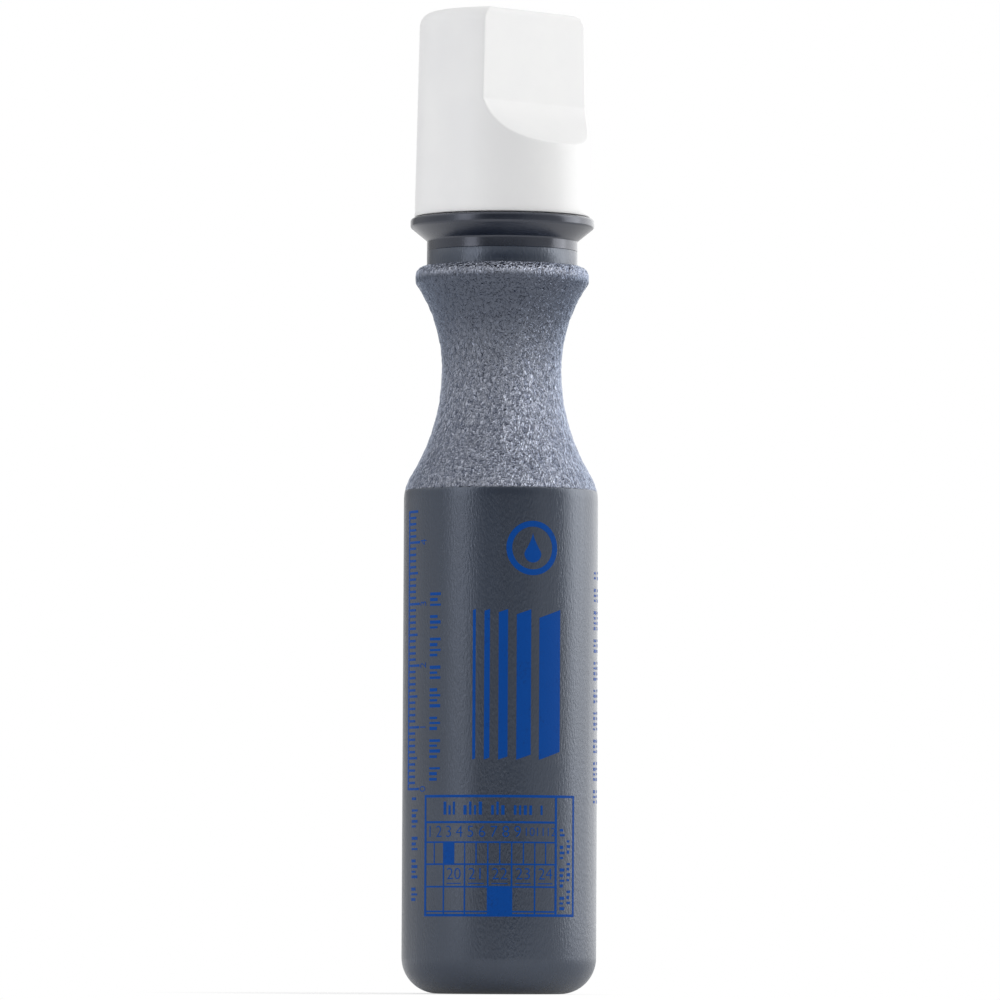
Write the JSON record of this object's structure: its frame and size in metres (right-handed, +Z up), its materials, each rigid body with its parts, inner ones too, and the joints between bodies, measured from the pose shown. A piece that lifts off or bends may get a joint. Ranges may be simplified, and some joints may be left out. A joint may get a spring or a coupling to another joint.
{
  "type": "industrial marker",
  "caption": "Squeeze-bottle paint marker: smooth body, textured waisted grip, dark flanged collar, sprung felt nib with valve, and a white pull-off cap with one thumb flat.",
  "frame": {"origin": "centre of the foot ring that the bottle stands on", "axes": "+Z up along the marker towards the nib, -Y out of the printed front, +X to the right of the front"},
  "size_m": [0.0318, 0.0318, 0.1602],
  "materials": {
    "bottle_plastic": "satin, grained on the grip",
    "collar_plastic": "glossy moulded",
    "cap_plastic": "semi-gloss moulded white",
    "felt": "pressed fibre, white",
    "valve_plastic": "natural moulded",
    "seal_rubber": "soft matte",
    "spring_steel": "drawn wire",
    "ball_steel": "polished"
  },
  "bodies": {
    "bottle_assembly": {"bottle": "bottle_plastic", "collar": "collar_plastic", "collar_gasket": "seal_rubber", "valve_body": "valve_plastic", "valve_seat": "seal_rubber", "valve_spring": "spring_steel", "spring_retainer": "valve_plastic", "nose_cone": "collar_plastic", "nose_seal": "seal_rubber"},
    "nib_assembly": {"nib": "felt", "nib_carrier": "valve_plastic", "valve_plunger": "valve_plastic"},
    "stirring_ball": {"mixing_ball": "ball_steel"},
    "cap": {"cap_shell": "cap_plastic", "cap_inner": "cap_plastic"}
  },
  "joints": [
    {"name": "cap_pull", "type": "slide", "parent": "bottle_assembly", "child": "cap", "axis": [0, 0, 1], "range_m": [0, 0.036]},
    {"name": "nib_press", "type": "slide", "parent": "bottle_assembly", "child": "nib_assembly", "axis": [0, 0, -1], "range_m": [0, 0.002], "stiffness_N_per_m": 600, "springref_m": -0.002, "deforming": ["valve_spring"]},
    {"name": "ball_rattle", "type": "slide", "parent": "bottle_assembly", "child": "stirring_ball", "axis": [0, 0, 1], "range_m": [0, 0.07]}
  ]
}
